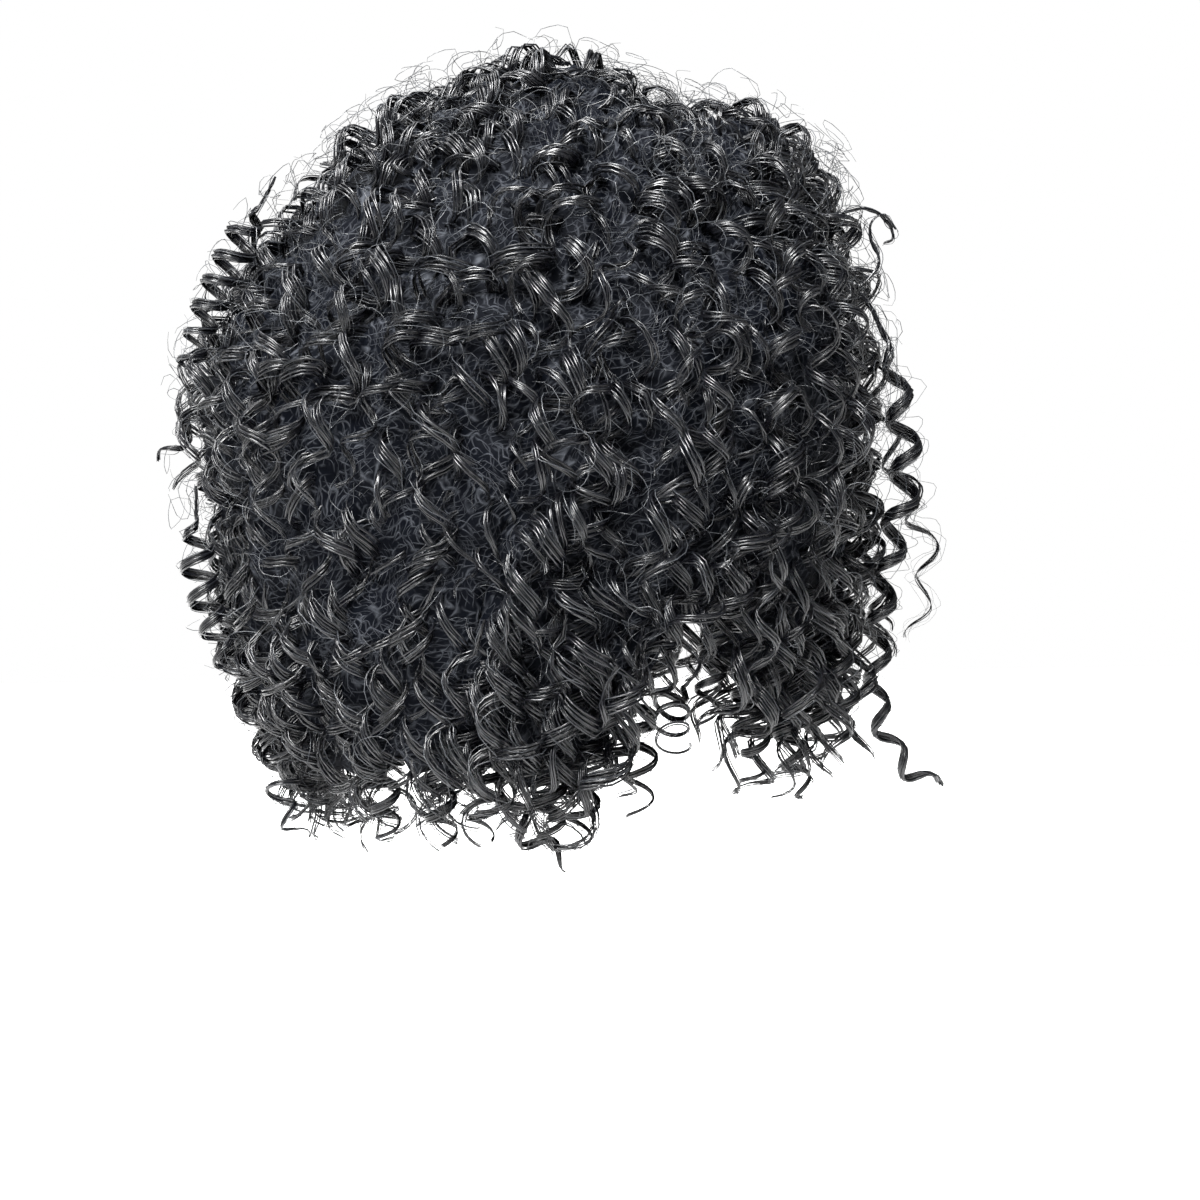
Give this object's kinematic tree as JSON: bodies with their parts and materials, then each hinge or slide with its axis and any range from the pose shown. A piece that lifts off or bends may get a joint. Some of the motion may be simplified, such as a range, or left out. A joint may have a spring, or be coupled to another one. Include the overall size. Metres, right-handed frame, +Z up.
{
  "type": "curly wig",
  "caption": "Neck-length wig of tight black corkscrew curls on an open cap, with a fringe over the forehead and loose ringlets in front of one side.",
  "frame": {"origin": "inside of the cap at its top, where the crown of the head bears on it", "axes": "+Z up, -Y towards the face opening, +X towards the wearer's left"},
  "size_m": [0.2815, 0.3184, 0.3366],
  "materials": {
    "cap_net": "black stretch net, matt",
    "hair": "black synthetic hair fibre, satin sheen"
  },
  "bodies": {
    "root": {"cap": "cap_net", "hair_crown": "hair", "hair_back": "hair", "hair_nape": "hair", "hair_side_right": "hair", "hair_side_left": "hair", "hair_fringe": "hair", "tendril_right": "hair", "tendril_right_thin": "hair"}
  },
  "joints": []
}
